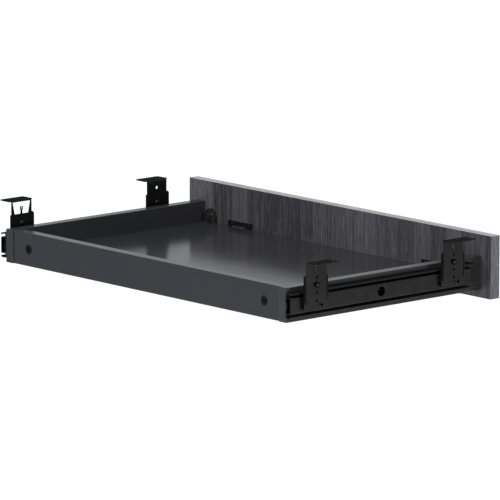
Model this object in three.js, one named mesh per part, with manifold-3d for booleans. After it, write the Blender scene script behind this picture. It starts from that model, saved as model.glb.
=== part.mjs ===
// Under-desk keyboard drawer: a shallow open tray of black laminated board with a taller woodgrain
// front, on two ball-bearing slides, hung from the underside of a desk by four adjustable hangers.
//
// Millimetres. +X is the user's right, -Y is towards the user, +Z is up. The model is laid out from
// the tray's own datum (middle of the tray, rear end of the side panels, bottom of the side panels)
// and the whole is then moved so that the origin is in the plane of the desk's underside, midway
// between the four hangers.

import * as THREE from 'three';
import { mergeVertices } from 'three/addons/utils/BufferGeometryUtils.js';
import Module from 'manifold-3d';

const wasm = await Module();
wasm.setup();

// ---- Driving dimensions -------------------------------------------------------------------------

// Tray boards
const trayWidth = 628.6;
const trayDepth = 380.5;
const wallHeight = 50.8;
const boardThickness = 16;
const backRecess = 2.4;
const bottomLift = 3.4;
const frontOverhang = 21;
const frontHeight = 94;
const frontThickness = 18;
const frontDrop = 11.9;

// Cam fittings and dowels
const camDiameter = 15;
const camDepth = 12.6;
const camInset = 34;
const camSlotWidth = 1.8;
const camSlotDepth = 2;
const camBoltShank = 6;
const camBoltHead = 7;
const camBoltCollar = 9;
const camBoltThread = 5;
const camBoltScrewIn = 11;
const dowelDiameter = 8;
const dowelLength = 30;
const dowelInSide = 12;
const dowelFromRear = 90;
const dowelFromFront = 80;

// Ball-bearing slides
const slideFrontGap = 23.5;
const slideOverhang = 1;
const slideDepth = 10.4;
const slideSheet = 1.2;
const channelHeight = 37.6;
const channelLip = 3;
const memberShortfall = 4.6;
const accessHoleDiameter = 14.4;
const accessHoleFromRear = 174.9;
const travelSpare = 4.4;
const channelScrewFromEnd = 42.7;
const ballDiameter = 4.6;
const ballPlay = 0.3;
const ballsPerRow = 5;
const ballPitch = 20;
const cageSheet = 0.8;
const cageEndMargin = 7.5;
const cageClearance = 0.4;
const stopTabThickness = 1.2;
const stopTabHeight = 9;
const frontStopReach = 8;
const frontStopHeight = 22;

// Hangers
const hangerFromRear = 43.3;
const hangerFromFront = 42.1;
const bracketWidth = 45.4;
const bracketSheet = 1.5;
const bracketStandOff = 3.3;
const bracketBottom = 18;
const bracketTop = 66.4;
const flangeInset = 1.9;
const flangeSheet = 1.2;
const flangeReach = 4.1;
const flangeBottom = 28.2;
const flangeCorner = 1.5;
const tallFlangeTop = 68;
const shortFlangeTop = 64.6;
const footTop = 37;
const plateSheet = 1.6;
const plateSideGap = 0.4;
const plateBottom = 26.4;
const padOverhang = 3.05;
const padReach = 24.5;
const padHeight = 87.2;
const padHoleDiameter = 5;
const padHoleFromSide = 4.75;
const padHoleFromEdge = 9.6;
const heightHoleDiameter = 4.8;
const heightHolePitch = 11.2;
const heightHoleCount = 5;
const topHoleHeight = 75;
const boltHole = 2;
const windowBottom = 66.4;
const windowSideBottom = 5.7;
const windowSideTop = 1.9;
const windowRail = 0.9;
const tongueWidth = 2.8;
const tongueEye = 5.6;
const tongueHole = 2.8;
const toolHoleDiameter = 5;
const toolHoleOffset = 10.9;
const toolHoleHeight = 22.2;
const slitOffset = 5.3;
const slitTop = 27;
const slitWidth = 1;

// Fasteners
const heightBoltDiameter = 4.4;
const heightBoltHead = 9;
const heightBoltHeadHeight = 1.9;
const heightBoltEnd = 4.8;
const nutAcrossFlats = 8;
const nutThickness = 2.6;
const rivetDiameter = 4;
const rivetHead = 6.4;
const rivetHeadHeight = 0.5;
const rivetSpacing = 26;
const rivetRise = 3;
const channelScrewHead = 6.6;
const channelScrewShank = 3.4;
const channelScrewLength = 13;
const smallScrewHead = 5.6;
const smallScrewHeadHeight = 1.4;
const smallScrewShank = 3;
const smallScrewLength = 12;

// Front corner connectors and front angle brackets
const connectorWidth = 24.5;
const connectorPlate = 2.6;
const connectorRise = 21.5;
const connectorArm = 11;
const connectorArmHeight = 13;
const connectorBase = 2.2;
const connectorRib = 2;
const connectorRibHeight = 8;
const connectorInset = 2.7;
const connectorRibFromWall = 14;
const connectorScrewFromWall = 17;
const connectorScrewRise = 11.6;
const angleLength = 54.6;
const angleFromWall = 54.9;
const angleHeight = 8.8;
const angleSheet = 1.8;
const angleFootReach = 2.6;
const longFoot = 15;
const shortFoot = 7.2;
const angleFootLift = 2;

// Clearances
const seatGap = 0.15;
const boreGap = 0.2;

// ---- Values that follow from them ---------------------------------------------------------------

const halfTray = trayWidth / 2;
const innerHalf = halfTray - boardThickness;
const floorTop = bottomLift + boardThickness;
const frontWidth = trayWidth + 2 * frontOverhang;
const frontFace = -trayDepth;
const backInner = -(backRecess + boardThickness);
const slideCentre = wallHeight / 2;
const slideRear = slideOverhang;
const slideLength = trayDepth + slideOverhang - slideFrontGap;
const channelFront = slideRear - slideLength;
const memberFront = channelFront + memberShortfall;
const memberHeight = channelHeight - 2 * (slideSheet + ballDiameter + 2 * ballPlay);
const ballOffset = (channelHeight / 2 - slideSheet + memberHeight / 2) / 2;
const ballDepth = slideDepth / 2 + cageClearance;
const cageWeb = slideSheet + cageClearance;
const memberInner = cageWeb + cageSheet + cageClearance;
const cageLength = (ballsPerRow - 1) * ballPitch + 2 * cageEndMargin;
const stopRoom = 2 * cageClearance;
const slideTravel = slideRear - memberFront - 2 * (stopTabThickness + stopRoom) - cageLength - travelSpare;
const cageRear = slideRear - stopTabThickness - stopRoom - slideTravel / 2;
const bracketInner = slideDepth + bracketStandOff;
const plateInner = bracketInner + bracketSheet + seatGap;
const plateOuter = plateInner + plateSheet;
const plateWidth = bracketWidth - 2 * (flangeInset + flangeSheet + plateSideGap);
const padWidth = plateWidth + 2 * padOverhang;
const padEdge = plateInner + padReach;
const boltHeight = topHoleHeight - boltHole * heightHolePitch;
const rivetHeight = slideCentre + rivetRise;
const frontHangerY = memberFront + hangerFromFront;
const hangerMiddle = (frontHangerY - hangerFromRear) / 2;
const connectorTop = floorTop + connectorRise;
const connectorScrewHeight = floorTop + connectorScrewRise;
const angleFromCentre = innerHalf - angleFromWall - angleLength;

const SIDES = [
  { name: 'left', sign: -1 },
  { name: 'right', sign: 1 },
];
const STATIONS = [
  { name: 'rear', y: -hangerFromRear },
  { name: 'front', y: frontHangerY },
];

// ---- Materials ----------------------------------------------------------------------------------

function finish(color, roughness, metalness) {
  return new THREE.MeshStandardMaterial({ color, roughness, metalness });
}

const blackLaminate = finish(0x33343a, 0.42, 0);
const woodgrainLaminate = finish(0x4b4950, 0.55, 0);
const blackSteel = finish(0x2a2a2b, 0.5, 0.7);
const zincSteel = finish(0x8f9194, 0.35, 0.9);
const retainerSteel = finish(0x2c2c2e, 0.4, 0.8);
const blackZinc = finish(0x1c1c1e, 0.5, 0.4);
const blackPlastic = finish(0x18181a, 0.5, 0);
const beech = finish(0xc49a6c, 0.8, 0);

// ---- Geometry helpers ---------------------------------------------------------------------------

// A closed three.js geometry as a manifold solid; triangles with no area at a lathe's axis are dropped.
function solid(geometry) {
  const bare = geometry.clone();
  bare.deleteAttribute('normal');
  bare.deleteAttribute('uv');
  const merged = mergeVertices(bare, 1e-4);
  const index = merged.index.array;
  const triVerts = [];
  for (let i = 0; i < index.length; i += 3) {
    const [a, b, c] = [index[i], index[i + 1], index[i + 2]];
    if (a !== b && b !== c && c !== a) triVerts.push(a, b, c);
  }
  const vertProperties = new Float32Array(merged.attributes.position.array);
  return new wasm.Manifold(new wasm.Mesh({ numProp: 3, vertProperties, triVerts: new Uint32Array(triVerts) }));
}

// A manifold solid back as a three.js geometry.
function geometryOf(manifold) {
  const mesh = manifold.getMesh();
  const geometry = new THREE.BufferGeometry();
  geometry.setAttribute('position', new THREE.BufferAttribute(mesh.vertProperties, 3));
  geometry.setIndex(new THREE.BufferAttribute(mesh.triVerts, 1));
  return geometry;
}

function joined(solids) {
  return solids.reduce((sum, part) => sum.add(part));
}

function cut(body, tools) {
  return tools.reduce((rest, tool) => rest.subtract(tool), body);
}

// A box between two opposite corners.
function block(a, b) {
  const size = a.map((value, i) => Math.abs(b[i] - value));
  const centre = a.map((value, i) => (b[i] + value) / 2);
  return new THREE.BoxGeometry(...size).translate(...centre);
}

function outline(points) {
  return new THREE.Shape(points.map(([u, v]) => new THREE.Vector2(u, v)));
}

// A rectangle with round corners, centred on (u, v).
function roundedRectangle(u, v, width, height, radius) {
  const w = width / 2 - radius;
  const h = height / 2 - radius;
  const shape = new THREE.Shape();
  shape.absarc(u + w, v + h, radius, 0, Math.PI / 2);
  shape.absarc(u - w, v + h, radius, Math.PI / 2, Math.PI);
  shape.absarc(u - w, v - h, radius, Math.PI, 1.5 * Math.PI);
  shape.absarc(u + w, v - h, radius, 1.5 * Math.PI, 2 * Math.PI);
  return shape;
}

function extruded(shape, depth, curveSegments) {
  return new THREE.ExtrudeGeometry(shape, { depth, bevelEnabled: false, curveSegments });
}

// An outline drawn in (x, z), extruded from y0 up to y1.
function alongY(shape, y0, y1, curveSegments = 4) {
  return extruded(shape, y1 - y0, curveSegments).rotateX(Math.PI / 2).translate(0, y1, 0);
}

// An outline drawn in (y, z), extruded from x0 up to x1.
function alongX(shape, x0, x1, curveSegments = 4) {
  const turn = new THREE.Matrix4().set(0, 0, 1, 0, 1, 0, 0, 0, 0, 1, 0, 0, 0, 0, 0, 1);
  return extruded(shape, x1 - x0, curveSegments).applyMatrix4(turn).translate(x0, 0, 0);
}

// An outline drawn in (x, y), extruded from z0 up to z1.
function alongZ(shape, z0, z1, curveSegments = 4) {
  return extruded(shape, z1 - z0, curveSegments).translate(0, 0, z0);
}

// A round bar of one diameter between two values of the named axis, centred on the other two.
function rod(axis, diameter, from, to, centre, sides = 12) {
  const bar = new THREE.CylinderGeometry(diameter / 2, diameter / 2, Math.abs(to - from), sides);
  const middle = (from + to) / 2;
  if (axis === 'x') return bar.rotateZ(Math.PI / 2).translate(middle, centre[0], centre[1]);
  if (axis === 'y') return bar.translate(centre[0], middle, centre[1]);
  return bar.rotateX(Math.PI / 2).translate(centre[0], centre[1], middle);
}

// A round hole that clears a piece of the given diameter by boreGap all round, flats included.
function bore(axis, diameter, from, to, centre, sides = 12) {
  return solid(rod(axis, (diameter + boreGap) / Math.cos(Math.PI / sides), from, to, centre, sides));
}

// A turned piece: stations are [distance along the axis from `start`, diameter] pairs, and the piece
// points along +X or -X (axis 'x'), or along +Y or -Y (axis 'y').
function turned(axis, direction, start, centre, stations, sides = 12) {
  const points = [new THREE.Vector2(0, stations[0][0])];
  stations.forEach(([along, diameter]) => points.push(new THREE.Vector2(diameter / 2, along)));
  points.push(new THREE.Vector2(0, stations[stations.length - 1][0]));
  const body = new THREE.LatheGeometry(points, sides);
  if (axis === 'x') {
    body.rotateZ(-direction * Math.PI / 2).translate(start, centre[0], centre[1]);
  } else {
    body.rotateX(direction > 0 ? 0 : Math.PI).translate(centre[0], start, centre[1]);
  }
  return solid(body);
}

// ---- Assembly -----------------------------------------------------------------------------------

const drawer = new THREE.Group();
drawer.position.set(0, -hangerMiddle, -padHeight);

function place(name, shape, material) {
  const geometry = shape.getMesh ? geometryOf(shape) : shape;
  const mesh = new THREE.Mesh(geometry, material);
  mesh.name = name;
  drawer.add(mesh);
}

// x of a point that stands `out` millimetres outside the tray's side face; negative goes inwards.
function outward(sign, out) {
  return sign * (halfTray + out);
}

// ---- Tray boards --------------------------------------------------------------------------------

const camY = -(backRecess + boardThickness / 2);
const camZ = wallHeight / 2;
const dowelZ = bottomLift + boardThickness / 2;
const dowelStations = [-dowelFromRear, -(trayDepth - dowelFromFront)];
const channelScrewStations = [
  slideRear - channelScrewFromEnd,
  slideRear - slideLength / 2,
  channelFront + channelScrewFromEnd,
];
const camBoltStart = -boardThickness + camBoltScrewIn;
const camBoltReach = camBoltScrewIn + camInset + camBoltHead / 2;

SIDES.forEach(({ name, sign }) => {
  const inner = outward(sign, -boardThickness);
  const panel = solid(block([outward(sign, 0), 0, 0], [inner, frontFace + seatGap, wallHeight]));
  const bores = dowelStations.map((y) =>
    bore('x', dowelDiameter, inner, inner + sign * (dowelInSide + boreGap), [y, dowelZ]));
  bores.push(bore('x', camBoltCollar, inner, inner + sign * camBoltScrewIn, [camY, camZ]));
  channelScrewStations.forEach((y) => bores.push(bore('x', channelScrewShank,
    outward(sign, 0), outward(sign, -channelScrewLength), [y, slideCentre])));
  place(`side_panel_${name}`, cut(panel, bores), blackLaminate);
});

const backPanel = solid(block([-innerHalf + seatGap, -backRecess, 0],
  [innerHalf - seatGap, backInner, wallHeight]));
const backBores = SIDES.flatMap(({ sign }) => [
  bore('y', camDiameter, -backRecess, -(backRecess + camDepth + boreGap),
    [sign * (innerHalf - camInset), camZ], 24),
  bore('x', camBoltHead, sign * innerHalf, sign * (innerHalf - camInset), [camY, camZ]),
]);
place('back_panel', cut(backPanel, backBores), blackLaminate);

const bottomPanel = solid(block([-innerHalf + seatGap, backInner - seatGap, bottomLift],
  [innerHalf - seatGap, frontFace + seatGap, floorTop]));
const bottomBores = SIDES.flatMap(({ sign }) => {
  const edge = outward(sign, -boardThickness);
  const depth = dowelLength - dowelInSide + boreGap;
  return dowelStations.map((y) => bore('x', dowelDiameter, edge, edge - sign * depth, [y, dowelZ]));
});
place('bottom_panel', cut(bottomPanel, bottomBores), blackLaminate);

const frontPanel = solid(block([-frontWidth / 2, frontFace, -frontDrop],
  [frontWidth / 2, frontFace - frontThickness, frontHeight - frontDrop]));
const connectorScrewX = innerHalf - connectorScrewFromWall;
const angleScrewStations = [
  angleFromCentre + longFoot / 2,
  angleFromCentre + angleLength - shortFoot - smallScrewHead / 2,
];
const angleScrewZ = floorTop + seatGap + angleFootLift + (angleHeight - angleFootLift) / 2;
const frontBores = SIDES.flatMap(({ sign }) => [
  [sign * connectorScrewX, connectorScrewHeight],
  ...angleScrewStations.map((x) => [sign * x, angleScrewZ]),
]).map((centre) => bore('y', smallScrewShank, frontFace, frontFace - smallScrewLength, centre));
place('front_panel', cut(frontPanel, frontBores), woodgrainLaminate);

// ---- Cam fittings and dowels --------------------------------------------------------------------

SIDES.forEach(({ name, sign }) => {
  const x = sign * (innerHalf - camInset);
  const face = -backRecess - boreGap;
  const drum = solid(rod('y', camDiameter, face, -(backRecess + camDepth), [x, camZ], 24));
  const slot = solid(block([x - camDiameter * 0.36, face + 1, camZ - camSlotWidth / 2],
    [x + camDiameter * 0.36, face - camSlotDepth, camZ + camSlotWidth / 2]));
  const crossSlot = solid(block([x - camSlotWidth / 2, face + 1, camZ - camDiameter * 0.2],
    [x + camSlotWidth / 2, face - camSlotDepth, camZ + camDiameter * 0.2]));
  const socket = bore('x', camBoltHead, x - sign * camBoltHead, x + sign * camDiameter, [camY, camZ]);
  place(`cam_lock_${name}`, cut(drum, [slot, crossSlot, socket]), blackZinc);

  const stations = [
    [0, camBoltThread],
    [camBoltScrewIn - 3, camBoltThread],
    [camBoltScrewIn - 3, camBoltCollar],
    [camBoltScrewIn - boreGap, camBoltCollar],
    [camBoltScrewIn - boreGap, camBoltShank],
    [camBoltReach - 6, camBoltShank],
    [camBoltReach - 5, camBoltShank - 2],
    [camBoltReach - 3, camBoltShank - 2],
    [camBoltReach - 3, camBoltHead],
    [camBoltReach, camBoltHead],
  ];
  const start = outward(sign, camBoltStart) - sign * boreGap;
  place(`cam_bolt_${name}`, turned('x', -sign, start, [camY, camZ], stations), zincSteel);

  dowelStations.forEach((y, i) => {
    const inner = outward(sign, -boardThickness);
    const dowel = rod('x', dowelDiameter, inner + sign * dowelInSide,
      inner - sign * (dowelLength - dowelInSide), [y, dowelZ]);
    place(`dowel_${name}_${STATIONS[i].name}`, dowel, beech);
  });
});

// ---- Front corner connectors and angle brackets -------------------------------------------------

function domePlate(sign) {
  const radius = connectorWidth / 2;
  const middle = sign * (innerHalf - connectorInset - radius);
  const shape = new THREE.Shape();
  shape.moveTo(middle - radius, floorTop + seatGap);
  shape.lineTo(middle + radius, floorTop + seatGap);
  shape.absarc(middle, connectorTop - radius, radius, 0, Math.PI);
  return alongY(shape, frontFace + seatGap, frontFace + seatGap + connectorPlate, 12);
}

function connector(sign) {
  const wall = innerHalf - seatGap;
  const base = floorTop + seatGap;
  const back = frontFace + seatGap;
  const armEnd = back + connectorArm;
  const plate = solid(domePlate(sign));
  const arm = solid(alongX(outline([
    [back, base],
    [armEnd, base],
    [armEnd, base + connectorArmHeight * 0.7],
    [armEnd - connectorArmHeight * 0.3, base + connectorArmHeight],
    [back, base + connectorArmHeight],
  ]), Math.min(sign * wall, sign * (wall - connectorPlate)),
  Math.max(sign * wall, sign * (wall - connectorPlate))));
  const web = solid(block([sign * wall, back, base],
    [sign * (wall - connectorWidth / 2), back + connectorPlate, base + connectorArmHeight]));
  const foot = solid(block([sign * wall, back, base],
    [sign * (wall - connectorWidth * 0.8), armEnd, base + connectorBase]));
  const ribX = sign * (innerHalf - connectorRibFromWall);
  const rib = solid(alongX(outline([
    [back + 0.5, base + 0.5],
    [armEnd - 1, base + 0.5],
    [armEnd - 1, base + connectorRibHeight * 0.6],
    [back + connectorPlate, base + connectorRibHeight],
    [back + 0.5, base + connectorRibHeight],
  ]), ribX - connectorRib / 2, ribX + connectorRib / 2));
  const hole = bore('y', smallScrewShank, back - 1, back + connectorPlate + 1,
    [sign * connectorScrewX, connectorScrewHeight]);
  return cut(joined([plate, web, arm, foot, rib]), [hole]);
}

function angleBracket(sign) {
  const near = sign * angleFromCentre;
  const far = sign * (angleFromCentre + angleLength);
  const base = floorTop + seatGap;
  const back = frontFace + seatGap;
  const leaf = solid(block([near, back, base + angleFootLift], [far, back + angleSheet, base + angleHeight]));
  const longToe = solid(block([near, back, base],
    [near + sign * longFoot, back + angleFootReach, base + angleSheet]));
  const longNeck = solid(block([near, back, base],
    [near + sign * longFoot, back + angleSheet, base + angleHeight]));
  const shortToe = solid(block([far, back, base],
    [far - sign * shortFoot, back + angleFootReach, base + angleSheet]));
  const shortNeck = solid(block([far, back, base],
    [far - sign * shortFoot, back + angleSheet, base + angleHeight]));
  const holes = angleScrewStations.map((x) =>
    bore('y', smallScrewShank, back - 1, back + angleSheet + 1, [sign * x, angleScrewZ]));
  return cut(joined([leaf, longToe, longNeck, shortToe, shortNeck]), holes);
}

// Screw whose head bears on a face and whose shank points away from it.
function smallScrew(direction, face, centre, grip) {
  const headStart = face - direction * smallScrewHeadHeight;
  const shankEnd = smallScrewHeadHeight + grip + smallScrewLength - 2;
  const stations = [
    [0, smallScrewHead * 0.55],
    [smallScrewHeadHeight * 0.6, smallScrewHead],
    [smallScrewHeadHeight, smallScrewHead],
    [smallScrewHeadHeight, smallScrewShank],
    [shankEnd - 1.5, smallScrewShank],
    [shankEnd, smallScrewShank * 0.3],
  ];
  return turned('y', direction, headStart, centre, stations, 10);
}

SIDES.forEach(({ name, sign }) => {
  place(`corner_connector_${name}`, connector(sign), blackPlastic);
  const plateFace = frontFace + seatGap + connectorPlate + seatGap;
  const connectorCentre = [sign * connectorScrewX, connectorScrewHeight];
  place(`connector_screw_${name}`,
    smallScrew(-1, plateFace, connectorCentre, connectorPlate), blackZinc);

  place(`angle_bracket_${name}`, angleBracket(sign), blackSteel);
  const leafFace = frontFace + seatGap + angleSheet + seatGap;
  angleScrewStations.forEach((x, i) => place(`angle_screw_${name}_${i + 1}`,
    smallScrew(-1, leafFace, [sign * x, angleScrewZ], angleSheet), blackSteel));
});

// ---- Ball-bearing slides ------------------------------------------------------------------------

// The tray's member: a C that opens outwards, with lips turned towards each other, and a tab folded
// out of its web at either end: a low one that stops the cage, a tall one that closes the front.
function trayChannel(sign) {
  const low = slideCentre - channelHeight / 2;
  const high = slideCentre + channelHeight / 2;
  const points = [
    [seatGap, low],
    [slideDepth, low],
    [slideDepth, low + channelLip],
    [slideDepth - slideSheet, low + channelLip],
    [slideDepth - slideSheet, low + slideSheet],
    [slideSheet, low + slideSheet],
    [slideSheet, high - slideSheet],
    [slideDepth - slideSheet, high - slideSheet],
    [slideDepth - slideSheet, high - channelLip],
    [slideDepth, high - channelLip],
    [slideDepth, high],
    [seatGap, high],
  ].map(([out, z]) => [outward(sign, out), z]);
  const channel = solid(alongY(outline(points), channelFront, slideRear));
  const stop = solid(block([outward(sign, slideSheet / 2), slideRear, slideCentre - stopTabHeight / 2],
    [outward(sign, cageWeb + cageSheet), slideRear - stopTabThickness, slideCentre + stopTabHeight / 2]));
  const frontStop = solid(block([outward(sign, slideSheet / 2), channelFront, slideCentre - frontStopHeight / 2],
    [outward(sign, frontStopReach), channelFront + stopTabThickness, slideCentre + frontStopHeight / 2]));
  const holes = channelScrewStations.map((y) => bore('x', channelScrewHead,
    outward(sign, -1), outward(sign, slideSheet + 1), [y, slideCentre]));
  return cut(joined([channel, stop, frontStop]), holes);
}

// The desk's member: a shallower channel inside the C, with its web flush with the lips.
function deskMember(sign) {
  const low = slideCentre - memberHeight / 2;
  const high = slideCentre + memberHeight / 2;
  const points = [
    [slideDepth, low],
    [slideDepth, high],
    [memberInner, high],
    [memberInner, high - slideSheet],
    [slideDepth - slideSheet, high - slideSheet],
    [slideDepth - slideSheet, low + slideSheet],
    [memberInner, low + slideSheet],
    [memberInner, low],
  ].map(([out, z]) => [outward(sign, out), z]);
  const channel = solid(alongY(outline(points), memberFront, slideRear));
  const stop = solid(block([outward(sign, cageWeb), memberFront, high - slideSheet],
    [outward(sign, memberInner + 0.5), memberFront + stopTabThickness, high]));
  const access = solid(rod('x', accessHoleDiameter, outward(sign, slideDepth - slideSheet - 1),
    outward(sign, slideDepth + 1), [slideRear - accessHoleFromRear, slideCentre], 24));
  const rivets = STATIONS.flatMap(({ y }) => [-1, 1].map((end) =>
    bore('x', rivetDiameter, outward(sign, slideDepth - slideSheet - 1), outward(sign, slideDepth + 1),
      [y + end * rivetSpacing / 2, rivetHeight])));
  return cut(channel.add(stop), [access, ...rivets]);
}

// The ball retainer: a thin C with a row of balls through each of its two arms.
function ballCage(sign) {
  const armEnd = ballDepth + ballDiameter / 2 + cageClearance;
  const arm = ballOffset + cageSheet / 2;
  const points = [
    [cageWeb, -arm],
    [armEnd, -arm],
    [armEnd, cageSheet - arm],
    [cageWeb + cageSheet, cageSheet - arm],
    [cageWeb + cageSheet, arm - cageSheet],
    [armEnd, arm - cageSheet],
    [armEnd, arm],
    [cageWeb, arm],
  ].map(([out, z]) => [outward(sign, out), slideCentre + z]);
  const strip = solid(alongY(outline(points), cageRear - cageLength, cageRear));
  const balls = [];
  for (let i = 0; i < ballsPerRow; i += 1) {
    const y = cageRear - cageEndMargin - i * ballPitch;
    [-1, 1].forEach((row) => balls.push(solid(new THREE.SphereGeometry(ballDiameter / 2, 10, 6)
      .translate(outward(sign, ballDepth), y, slideCentre + row * ballOffset))));
  }
  return joined([strip, ...balls]);
}

SIDES.forEach(({ name, sign }) => {
  place(`tray_channel_${name}`, trayChannel(sign), blackSteel);
  place(`desk_member_${name}`, deskMember(sign), blackSteel);
  place(`ball_cage_${name}`, ballCage(sign), retainerSteel);
  channelScrewStations.forEach((y, i) => {
    const stations = [
      [0, channelScrewHead],
      [slideSheet - seatGap - boreGap, channelScrewHead],
      [slideSheet - seatGap + 0.1, channelScrewShank],
      [channelScrewLength - 1, channelScrewShank],
      [channelScrewLength - 0.2, 1],
    ];
    place(`channel_screw_${name}_${i + 1}`,
      turned('x', -sign, outward(sign, slideSheet), [y, slideCentre], stations, 10), zincSteel);
  });
});

// ---- Hangers ------------------------------------------------------------------------------------

// The lower bracket: a shallow channel with two side flanges, its bottom edge folded back into a foot
// that is riveted to the desk member. `ahead` is the y direction of the end with the shorter flange.
function hangerBracket(sign, y, ahead) {
  const gap = bracketInner - slideDepth - seatGap - bracketSheet;
  const footInner = slideDepth + seatGap;
  const outer = bracketInner + bracketSheet;
  const radius = (outer - footInner) / 2;
  const middle = (outer + footInner) / 2;
  const fold = new THREE.Shape();
  fold.moveTo(sign * (halfTray + footInner), footTop);
  fold.lineTo(sign * (halfTray + footInner), bracketBottom + radius);
  const start = sign > 0 ? Math.PI : 0;
  fold.absarc(sign * (halfTray + middle), bracketBottom + radius, radius, start, Math.PI - start, sign < 0);
  fold.lineTo(sign * (halfTray + outer), bracketTop);
  fold.lineTo(sign * (halfTray + bracketInner), bracketTop);
  fold.lineTo(sign * (halfTray + bracketInner), bracketBottom + radius);
  fold.absarc(sign * (halfTray + middle), bracketBottom + radius, gap / 2, Math.PI - start, start, sign > 0);
  fold.lineTo(sign * (halfTray + footInner + bracketSheet), footTop);
  const body = solid(alongY(fold, y - bracketWidth / 2, y + bracketWidth / 2, 6));
  const flanges = [-1, 1].map((end) => {
    const top = end === ahead ? shortFlangeTop : tallFlangeTop;
    const edge = y + end * (bracketWidth / 2 - flangeInset);
    const tip = bracketInner + flangeReach;
    const shape = outline([
      [outward(sign, bracketInner), flangeBottom],
      [outward(sign, tip - flangeCorner), flangeBottom],
      [outward(sign, tip), flangeBottom + flangeCorner],
      [outward(sign, tip), top - flangeCorner],
      [outward(sign, tip - flangeCorner), top],
      [outward(sign, bracketInner), top],
    ]);
    return solid(alongY(shape, Math.min(edge, edge - end * flangeSheet),
      Math.max(edge, edge - end * flangeSheet)));
  });
  const through = [outward(sign, footInner - 1), outward(sign, outer + 1)];
  const behind = outward(sign, bracketInner - gap / 2);
  const holes = [
    solid(rod('x', heightHoleDiameter, behind, through[1], [y, boltHeight])),
    solid(rod('x', toolHoleDiameter, through[0], through[1],
      [y + ahead * toolHoleOffset, toolHoleHeight])),
    solid(block([behind, y + ahead * slitOffset - slitWidth / 2, bracketBottom - 1],
      [through[1], y + ahead * slitOffset + slitWidth / 2, slitTop])),
    ...[-1, 1].map((end) => bore('x', rivetDiameter, through[0], behind,
      [y + end * rivetSpacing / 2, rivetHeight])),
  ];
  return cut(joined([body, ...flanges]), holes);
}

// The upper plate: an angle whose short leg is the pad that screws to the desk. With `windowed`, the
// upright is opened below the bend, leaving its two tapering sides and a tongue with an eye, and has
// no height holes above the bolt.
function hangerPlate(sign, y, windowed) {
  const bend = plateSheet;
  const shape = new THREE.Shape();
  const x = (out) => sign * (halfTray + out);
  shape.moveTo(x(plateInner), plateBottom);
  shape.lineTo(x(plateInner), padHeight - bend);
  shape.lineTo(x(plateInner + bend * 0.3), padHeight - bend * 0.3);
  shape.lineTo(x(plateInner + bend), padHeight);
  shape.lineTo(x(plateOuter + 1), padHeight);
  shape.lineTo(x(plateOuter + 1), padHeight - plateSheet);
  shape.lineTo(x(plateOuter), padHeight - plateSheet);
  shape.lineTo(x(plateOuter), plateBottom);
  const upright = solid(alongY(shape, y - plateWidth / 2, y + plateWidth / 2));
  const padStart = Math.min(x(plateInner + bend), x(padEdge));
  const padShape = roundedRectangle(padStart + (padReach - bend) / 2, y, padReach - bend, padWidth, 2.5);
  const pad = solid(alongZ(padShape, padHeight - plateSheet, padHeight, 3));
  const cross = [x(plateInner - 1), x(plateOuter + 1)];
  const holes = [];
  const firstHole = windowed ? boltHole : 0;
  for (let i = firstHole; i < heightHoleCount; i += 1) {
    holes.push(solid(rod('x', heightHoleDiameter, cross[0], cross[1],
      [y, topHoleHeight - i * heightHolePitch])));
  }
  [-1, 1].forEach((end) => holes.push(solid(rod('z', padHoleDiameter, padHeight - plateSheet - 1,
    padHeight + 1, [x(padEdge - padHoleFromEdge), y + end * (padWidth / 2 - padHoleFromSide)]))));
  const plate = cut(upright.add(pad), holes);
  if (!windowed) return plate;

  const bottom = plateWidth / 2 - windowSideBottom;
  const top = plateWidth / 2 - windowSideTop;
  const windowTop = padHeight - plateSheet - windowRail;
  const low = Math.min(...cross);
  const high = Math.max(...cross);
  const opening = solid(alongX(outline([
    [y - bottom, windowBottom],
    [y + bottom, windowBottom],
    [y + top, windowTop],
    [y - top, windowTop],
  ]), low, high));
  const tongue = solid(alongX(outline([
    [y - tongueWidth / 2, windowBottom - 1],
    [y + tongueWidth / 2, windowBottom - 1],
    [y + tongueWidth / 2, topHoleHeight],
    [y - tongueWidth / 2, topHoleHeight],
  ]), low, high));
  const eye = solid(rod('x', tongueEye, low, high, [y, topHoleHeight], 16));
  const eyeHole = solid(rod('x', tongueHole, low - 1, high + 1, [y, topHoleHeight]));
  const kept = tongue.add(eye).subtract(eyeHole);
  return plate.subtract(opening.subtract(kept));
}

function heightBolt(sign, y) {
  const headInner = bracketInner - seatGap - heightBoltHeadHeight;
  const total = plateOuter + heightBoltEnd - headInner;
  const stations = [
    [0, heightBoltHead * 0.45],
    [heightBoltHeadHeight * 0.45, heightBoltHead * 0.85],
    [heightBoltHeadHeight * 0.8, heightBoltHead],
    [heightBoltHeadHeight, heightBoltHead],
    [heightBoltHeadHeight, heightBoltDiameter],
    [total - 0.8, heightBoltDiameter],
    [total, heightBoltDiameter - 1.4],
  ];
  return turned('x', sign, outward(sign, headInner), [y, boltHeight], stations, 12);
}

function heightNut(sign, y) {
  const inner = plateOuter + seatGap;
  const acrossCorners = nutAcrossFlats / Math.cos(Math.PI / 6);
  const hexagon = solid(rod('x', acrossCorners, outward(sign, inner), outward(sign, inner + nutThickness),
    [y, boltHeight], 6));
  const thread = bore('x', heightBoltDiameter, outward(sign, inner - 1),
    outward(sign, inner + nutThickness + 1), [y, boltHeight]);
  return hexagon.subtract(thread);
}

function footRivet(sign, y) {
  const inner = slideDepth - slideSheet - seatGap - rivetHeadHeight;
  const shankEnd = slideDepth + seatGap + bracketSheet - boreGap / 2;
  const stations = [
    [0, rivetHead],
    [rivetHeadHeight, rivetHead],
    [rivetHeadHeight, rivetDiameter],
    [shankEnd - inner, rivetDiameter],
  ];
  return turned('x', sign, outward(sign, inner), [y, rivetHeight], stations, 10);
}

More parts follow.
